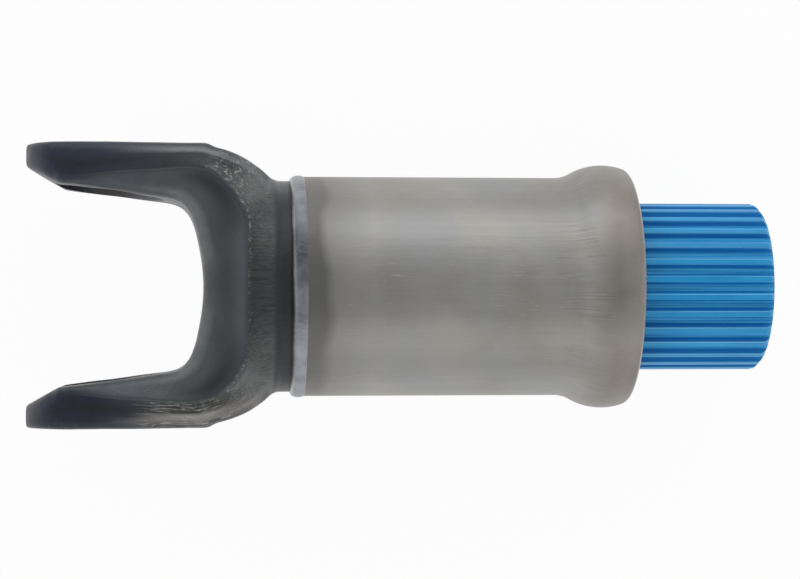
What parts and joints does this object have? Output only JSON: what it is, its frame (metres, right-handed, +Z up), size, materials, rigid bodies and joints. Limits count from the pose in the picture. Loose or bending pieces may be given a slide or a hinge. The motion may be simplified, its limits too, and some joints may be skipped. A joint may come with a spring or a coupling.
{
  "type": "slip yoke shaft",
  "caption": "Forged fork yoke with full-round cross bores, a welded dust tube with a belled mouth and a nylon-coated male spline.",
  "frame": {"origin": "centre of the universal joint: on the cross-bore axis, midway between the ears", "axes": "+X along the shaft from the fork to the splined end, +Y along the cross-bore axis, +Z up as the part lies on its side"},
  "size_m": [0.3582, 0.1364, 0.1194],
  "materials": {
    "forged_steel": "dark forged steel with scale, machined bores",
    "blue_nylon": "satin nylon coat on the teeth",
    "drawn_steel": "satin drawn tube, dulled",
    "weld_metal": "rippled weld bead",
    "seal_rubber": "matte black rubber"
  },
  "bodies": {
    "root": {"yoke_shaft": "forged_steel", "spline_coating": "blue_nylon", "dust_tube": "drawn_steel", "weld_bead": "weld_metal", "dust_seal": "seal_rubber"}
  },
  "joints": []
}
